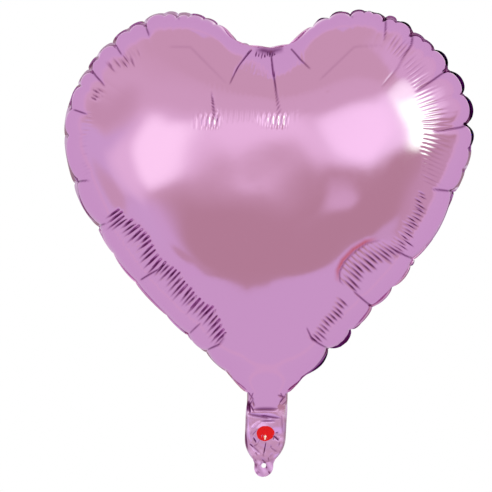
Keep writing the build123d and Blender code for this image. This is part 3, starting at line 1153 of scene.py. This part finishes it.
def tab_sheet(side, seed, name, share):
    """The foot of the tail and the tab as one film, with the ribbon hole through it."""
    top_x = share * tail_half(TAIL_CUT_Z)
    heights = np.concatenate([np.arange(TAIL_CUT_Z - 1, -8.0, -1.0), [-8.6, -9.3, -9.8]])
    widths = [lower_half(z) for z in heights]
    outline = [(x, TAIL_CUT_Z) for x in top_x[::-1]]
    outline += [(-x, z) for x, z in zip(widths, heights)]
    outline += [(0.0, tab_lo[2])]
    outline += [(x, z) for x, z in zip(widths[::-1], heights[::-1])]
    ring = circle(HOLE, 28)
    points = outline + ring + circle(1.5 * HOLE, 28)
    for z, half in zip(heights[:-2], widths):
        for x in np.arange(-math.floor(half - 0.7), half - 0.6, 1.0):
            if math.hypot(x, z) > 1.5 * HOLE + 0.5:
                points.append((x, z))
    edges = loop_edges(0, len(outline)) + loop_edges(len(outline), len(ring))
    x, z, faces = triangulate(points, edges)

    def off_hole(face):
        return math.hypot(x[list(face)].mean(), z[list(face)].mean()) > HOLE * 0.98

    kept = [face for face in faces if off_hole(face)]
    y, dark = tail_sheet(x, z, side, seed + 5)
    # The tab's folds carry painted shade, and the tab is darker towards its foot in faint waves; both
    # go into one mark.
    wavy_darkening = (0.11 + 0.07 * np.sin(x / 1.3 + z / 2.1)) * smoothstep((9 - z) / 6)
    sealed = 0.7 * smoothstep((np.abs(x) / tail_half(z) - 0.86) / 0.06) * (z > 6)
    marks = {"tuck": np.maximum(dark, wavy_darkening), "limp": np.ones(len(x)), "edge": sealed}
    spots = np.stack([x + tail_shift(z), y + tail_middle(x, z), z], 1)
    return object_from(name, spots, kept, marks, side > 0)


def lies_on_tail(x, z, proud):
    """A point that lies on the front film of the tail."""
    y, _ = tail_sheet(x, z, -1, FRONT_SEED + 5)
    return np.stack([x + tail_shift(z), y + tail_middle(x, z) - proud, z], 1)


def marker_dot():
    """A printed dot, not quite round."""
    lo, hi = cad_box("valve_marker")
    half_x, half_z, mid_z = (hi[0] - lo[0]) / 2, (hi[2] - lo[2]) / 2, (hi[2] + lo[2]) / 2
    rings, around = 14, 64
    x, z = [0.0], [mid_z]
    for r in range(1, rings + 1):
        for a in range(around):
            angle = 2 * math.pi * a / around
            wobble = 1 + 0.02 * math.sin(3 * angle + 1) + 0.012 * math.sin(7 * angle)
            x.append(half_x * wobble * r / rings * math.cos(angle))
            z.append(mid_z + half_z * wobble * r / rings * math.sin(angle))
    faces = [(0, 1 + a, 1 + (a + 1) % around) for a in range(around)]
    for r in range(1, rings):
        for a in range(around):
            b = (a + 1) % around
            outer, inner = 1 + r * around, 1 + (r - 1) * around
            faces.append((inner + a, outer + a, outer + b, inner + b))
    points = lies_on_tail(np.array(x), np.array(z), DOT_PROUD)
    return object_from("valve_marker_dot", points, faces, {}, False)


def marker_arrow():
    """A plain upright arrow printed on the dot."""
    lo, hi = cad_box("marker_arrow")
    half, mid = (hi[0] - lo[0]) / 2, (hi[2] + lo[2]) / 2
    long = (hi[2] - lo[2]) / 2
    stem, neck = 0.4 * half, 0.17 * long
    right = [(half, neck), (stem, neck), (stem, -long)]
    outline = [(0, long)] + right + [(-x, z) for x, z in right[::-1]]
    inner = [(0, z) for z in np.linspace(-0.8 * long, 0.6 * long, 7)]
    x, z, faces = triangulate(outline + inner, loop_edges(0, len(outline)))
    spots = lies_on_tail(x, z + mid, ARROW_PROUD)
    return object_from("valve_marker_arrow", spots, faces, {}, False)


def waving_film(name, heights, columns, half_at, stand_off):
    """A flat film that waves with the tail, as a grid with a row at each height."""
    points, faces = [], []
    for z in heights:
        x = np.linspace(-1, 1, columns) * half_at(z)
        y = tail_middle(x, z) + stand_off + 0.05 * np.sin(x / 2.3 + z / 3.1)
        points.append(np.stack([x + tail_shift(z), y, np.full(columns, z)], 1))
    for row in range(len(heights) - 1):
        for column in range(columns - 1):
            a = row * columns + column
            faces.append((a, a + columns, a + columns + 1, a + 1))
    return object_from(name, np.concatenate(points), faces, {}, False)


def valve_film(name, top_z, stand_off):
    """One clear film of the valve, from inside the tail up into the balloon."""
    foot_z = cad_box("valve_sleeve_front")[0][2]

    def half_at(z):
        return np.minimum(VALVE_HALF, tail_half(z) - 4.5)

    return waving_film(name, np.arange(foot_z, top_z + 0.1, 1.0), 25, half_at, stand_off)


def ink_patch():
    """The thin release coating on the inner face of the rear film."""
    lo, hi = cad_box("release_ink")
    mid, half_z = (lo[2] + hi[2]) / 2, (hi[2] - lo[2]) / 2

    def half_at(z):
        return (hi[0] - lo[0]) / 2 * (1 - 0.06 * ((z - mid) / half_z) ** 8)

    heights = mid + np.linspace(-1, 1, 15) * half_z
    return waving_film("release_ink_patch", heights, 21, half_at, INK_OFF)


front_foil, tail_share = foil_sheet(-1, FRONT_SEED, "front_foil_sheet")
back_foil, _ = foil_sheet(1, BACK_SEED, "back_foil_sheet")
blend_across(front_foil)
blend_across(back_foil)
finish_piece(front_foil, front_foil_material, "front_foil", "front_panel", "tail_front_panel")
finish_piece(back_foil, back_foil_material, "back_foil", "back_panel", "tail_back_panel")

tab_front = tab_sheet(-1, FRONT_SEED, "tab_front_film", tail_share)
tab_back = tab_sheet(1, BACK_SEED, "tab_back_film", tail_share)
blend_across(tab_front)
blend_across(tab_back)
finish_piece(tab_front, front_foil_material, "front_foil", "tab_front_sheet")
finish_piece(tab_back, back_foil_material, "back_foil", "tab_back_sheet")

dot, arrow = marker_dot(), marker_arrow()
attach(dot, "tail")
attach(arrow, "tail")
finish_piece(dot, marker_red, "marker_red", "valve_marker")
finish_piece(arrow, marker_white, "marker_white", "marker_arrow")

front_film = valve_film("valve_front_film", cad_box("valve_tongue")[1][2], -VALVE_OFF)
rear_film = valve_film("valve_rear_film", cad_box("valve_sleeve_back")[1][2] + 3, VALVE_OFF)
blend_across(front_film)
blend_across(rear_film)
finish_piece(front_film, clear, "clear_film", "valve_sleeve_front", "valve_tongue")
finish_piece(rear_film, clear, "clear_film", "valve_sleeve_back")
for material_slot in frame["nodes"]["valve_flap"].material_slots:
    material_slot.material = clear

ink = ink_patch()
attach(ink, "tail")
finish_piece(ink, ink_grey, "release_ink", "release_ink")


# ---------------------------------------------------------------- studio

PALE = (1.0, 1.0, 1.0)
ROSE = (0.99, 0.965, 0.81)
DIM = (0.765, 0.665, 0.53)
MIRRORED_LIGHT = 0.93       # strength of what the film mirrors; the camera sees plain white


class Surroundings(Tree):
    """What the film mirrors, by azimuth and height in degrees seen from the balloon.

    Azimuth 0 is straight in front of it, and positive to the right. depth is the part of the
    direction that points away from the main view. A slow noise shakes the borders a little.
    """

    def __init__(self, tree):
        super().__init__(tree)
        normalize = self.nodes.new("ShaderNodeVectorMath")
        normalize.operation = "NORMALIZE"
        self.feed(self.nodes.new("ShaderNodeTexCoord").outputs["Generated"], normalize.inputs[0])
        self.way = normalize.outputs[0]
        right, front, up = self.part((1, 0, 0)), self.part((0, -1, 0)), self.part((0, 0, 1))
        split = self.nodes.new("ShaderNodeSeparateColor")
        self.feed(self.noise(2.3, 1.0, self.way, "Color"), split.inputs[0])
        azimuth = self.times(self.math("ARCTAN2", right, front), 180 / math.pi)
        height = self.times(self.math("ARCSINE", up), 180 / math.pi)
        self.azimuth = self.plus(azimuth, self.times(self.plus(split.outputs[0], -0.5), 26.0))
        self.height = self.plus(height, self.times(self.plus(split.outputs[1], -0.5), 14.0))
        self.depth = self.part((0, 1, 0))

    def part(self, vector):
        """The direction's part along a unit vector."""
        node = self.nodes.new("ShaderNodeVectorMath")
        node.operation = "DOT_PRODUCT"
        node.inputs[1].default_value = vector
        self.feed(self.way, node.inputs[0])
        return node.outputs["Value"]

    def between(self, value, low, high):
        """1 between two borders, each given as (value, softness)."""
        rise = self.ramp(value, low[0] - low[1] / 2, low[0] + low[1] / 2)
        return self.times(rise, self.ramp(value, high[0] + high[1] / 2, high[0] - high[1] / 2))

    def patch(self, left, right, bottom, top, slant=0.0):
        """1 inside a patch of the surroundings. Each side is (angle, softness)."""
        tilted = self.plus(self.height, self.times(self.azimuth, -slant))
        return self.times(self.between(self.azimuth, left, right), self.between(tilted, bottom, top))

    def band(self, bottom, top, slant=0.0):
        return self.patch((-140, 20), (140, 20), bottom, top, slant)

    def oval(self, middle, half, turn, soft):
        """1 inside a turned oval of the surroundings, falling softly to 0 outside it."""
        cosine, sine = math.cos(math.radians(turn)), math.sin(math.radians(turn))
        along = self.plus(self.azimuth, -middle[0])
        up = self.plus(self.height, -middle[1])
        u = self.plus(self.times(along, cosine / half[0]), self.times(up, sine / half[0]))
        v = self.plus(self.times(along, -sine / half[1]), self.times(up, cosine / half[1]))
        size = self.plus(self.times(u, u), self.times(v, v))
        return self.ramp(size, 1 + soft, 1 - soft)


def mirrored_colour(room):
    """Layers of colour, each with the area that it covers: sweep, room, soft boxes, rim."""
    patch, band, oval, times = room.patch, room.band, room.oval, room.times
    below = patch((-180, 5), (180, 5), (-100, 5), (3.2, 14), 0.19)
    above = patch((-31, 20), (125, 20), (-29.5, 2.2), (100, 5), 0.07)
    left = room.ramp(room.azimuth, -19.0, -27.0)
    behind = room.ramp(room.depth, 0.80, 0.92)
    layers = [
        (band((-8, 8), (100, 10)), ROSE),
        (band((18, 10), (45, 26)), (1.05, 1.05, 0.90)),
        (band((46, 6), (150, 10), -0.12), (0.965, 0.935, 0.775)),
        (patch((-110, 10), (-52, 24), (-14, 16), (24, 4), 0.12), (1.0, 1.03, 1.03)),
        (patch((-98, 20), (-58, 24), (26, 4), (38, 16), 0.12), (0.92, 0.87, 0.74)),
        (oval((-82, -12), (14, 9), 0, 0.8), (0.94, 0.90, 0.78)),
        (times(below, above), DIM),
        (oval((-36, -23.5), (13, 4.5), -12, 0.4), (0.83, 0.75, 0.64)),
        (patch((68, 30), (125, 20), (-30, 8), (6, 14)), (0.90, 0.84, 0.74)),
        (patch((62, 12), (125, 20), (13, 8), (60, 20)), (1.08, 1.08, 1.0)),
        (patch((-64, 10), (-33, 8), (-25, 4), (-15, 4), 0.30), (1.0, 0.98, 1.0)),
        (oval((58, -24), (14, 6), 20, 0.8), (0.95, 0.93, 0.88)),
        (oval((18, -4.5), (9, 4.5), 0, 0.95), (1.06, 1.06, 0.93)),
        (oval((12, 14), (46, 9), 5, 0.85), (1.26, 1.34, 1.15)),
        (oval((-9, 12), (21, 7.5), 0, 0.95), (1.38, 1.50, 1.28)),
        (oval((54, 20.5), (36, 12), 12, 0.75), (1.5, 1.75, 1.45)),
        (oval((33, 18), (15, 7), 8, 0.9), (1.66, 1.95, 1.60)),
        (times(oval((-46, 8), (28, 12), 24, 0.9), left), (1.28, 1.37, 1.20)),
        (times(oval((-39, 10), (14, 10), 25, 0.8), left), (1.70, 2.05, 1.60)),
        (oval((63, 28), (11, 13), -35, 0.8), (1.75, 2.5, 1.7)),
        (oval((67, 17), (13, 12), 0, 0.7), (2.5, 4.8, 2.5)),
        (room.ramp(room.depth, 0.16, 0.20), (1.07, 1.04, 0.98)),
        (room.ramp(room.depth, 0.23, 0.27), PALE),
        (times(behind, patch((-200, 5), (200, 5), (24, 20), (95, 5))), (0.98, 0.96, 0.95)),
        (times(behind, patch((-200, 5), (200, 5), (-24, 4), (-5, 26))), (0.90, 0.86, 0.88)),
        (times(behind, oval((150, 18), (26, 12), 10, 0.8)), (1.7, 2.0, 1.6)),
        (times(behind, oval((-150, 22), (20, 14), -10, 0.8)), (1.4, 1.6, 1.35)),
    ]
    colour = PALE
    for area, tint in layers:
        colour = room.mix(area, colour, tint)
    return colour


def world_light():
    """Surroundings as the film mirrors them: a pale sweep, a warm room and two soft boxes."""
    world = bpy.data.worlds.new("studio")
    bpy.context.scene.world = world
    world.use_nodes = True
    world.node_tree.nodes.clear()
    room = Surroundings(world.node_tree)
    nodes = room.nodes
    mirrored = nodes.new("ShaderNodeBackground")
    room.feed(mirrored_colour(room), mirrored.inputs["Color"])
    mirrored.inputs["Strength"].default_value = MIRRORED_LIGHT
    seen = nodes.new("ShaderNodeBackground")
    seen.inputs["Color"].default_value = (1, 1, 1, 1)
    seen.inputs["Strength"].default_value = 1.0
    choose = nodes.new("ShaderNodeMixShader")
    room.feed(nodes.new("ShaderNodeLightPath").outputs["Is Camera Ray"], choose.inputs["Fac"])
    room.feed(mirrored.outputs[0], choose.inputs[1])
    room.feed(seen.outputs[0], choose.inputs[2])
    room.feed(choose.outputs[0], nodes.new("ShaderNodeOutputWorld").inputs["Surface"])


def pale_floor():
    """A plain pale floor below the balloon. It lights the foil only through the world."""
    bottom, radius, corners = -0.3, 1.5, 96
    mesh = bpy.data.meshes.new("floor")
    mesh.from_pydata([(x, y, bottom) for x, y in circle(radius, corners)], [], [tuple(range(corners))])
    floor = link_object("floor", mesh)
    surface = Material("pale floor")
    surface.set("Base Color", (0.93, 0.925, 0.96))
    surface.set("Roughness", 0.9)
    floor.data.materials.append(surface.material)
    floor.visible_glossy = False


def key_light():
    """A large soft light overhead, which the foil doesn't mirror."""
    light = bpy.data.lights.new("overhead", "AREA")
    light.shape = "DISK"
    light.size = 1.6
    light.energy = 12.0
    lamp = link_object("overhead", light)
    lamp.location = (-0.3, -0.5, 1.9)
    aim = Vector((0, 0, 0.2)) - lamp.location
    lamp.rotation_euler = aim.to_track_quat("-Z", "Y").to_euler()
    lamp.visible_glossy = False


def photo_camera():
    """Level with the balloon, nearly square on, a little to its right."""
    data = bpy.data.cameras.new("camera")
    data.lens = VIEW_LENS
    data.sensor_width = VIEW_SENSOR
    data.clip_end = 50
    camera = link_object("camera", data)
    aim = np.array([AXIS_X + VIEW_AIM[0], 0, VIEW_AIM[1]])
    back = np.array([math.sin(VIEW_AZIMUTH), -math.cos(VIEW_AZIMUTH), 0.0])
    camera.location = (aim + back * VIEW_DISTANCE) * MM
    camera.rotation_euler = Vector(-back).to_track_quat("-Z", "Y").to_euler()
    bpy.context.scene.camera = camera


world_light()
pale_floor()
key_light()
photo_camera()
bpy.context.scene.view_settings.view_transform = "Standard"
